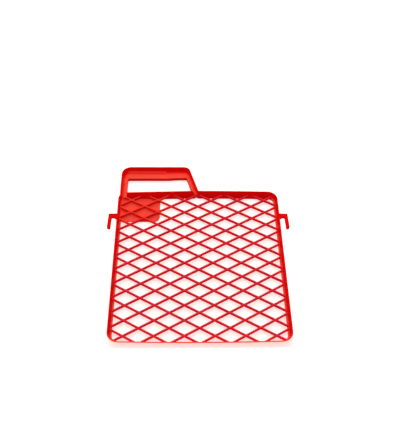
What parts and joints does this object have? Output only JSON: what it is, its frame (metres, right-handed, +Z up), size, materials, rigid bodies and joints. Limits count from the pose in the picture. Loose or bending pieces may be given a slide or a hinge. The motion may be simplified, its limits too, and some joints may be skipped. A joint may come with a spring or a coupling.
{
  "type": "paint roller grid",
  "caption": "Flat moulded-plastic grid for rolling excess paint off a roller, with a diamond mesh, an off-centre slotted carrying handle and a bucket-rim hook on each side rail.",
  "frame": {"origin": "middle of the overall box, on the plane of the walls' feet that the grid lies on", "axes": "+Z up out of the tray side, +Y along the length towards the handle, +X to the right when the handle is at the far left"},
  "size_m": [0.252, 0.2902, 0.01],
  "materials": {
    "red_polypropylene": "as moulded, satin, faintly translucent where it is thin"
  },
  "bodies": {
    "root": {"front_rail": "red_polypropylene", "front_left_corner": "red_polypropylene", "front_right_corner": "red_polypropylene", "left_rail": "red_polypropylene", "right_rail": "red_polypropylene", "back_left_shoulder": "red_polypropylene", "back_right_corner": "red_polypropylene", "back_rail": "red_polypropylene", "handle_left_wall": "red_polypropylene", "handle_left_corner": "red_polypropylene", "handle_back_wall": "red_polypropylene", "handle_right_corner": "red_polypropylene", "handle_slant_wall": "red_polypropylene", "slot_rail": "red_polypropylene", "grip_web": "red_polypropylene", "left_leg_web": "red_polypropylene", "right_leg_web": "red_polypropylene", "slot_back_lip": "red_polypropylene", "slot_left_lip": "red_polypropylene", "slot_right_lip": "red_polypropylene", "diamond_mesh": "red_polypropylene", "label_plate": "red_polypropylene", "left_hook_arm": "red_polypropylene", "left_hook_leg": "red_polypropylene", "right_hook_arm": "red_polypropylene", "right_hook_leg": "red_polypropylene"}
  },
  "joints": []
}
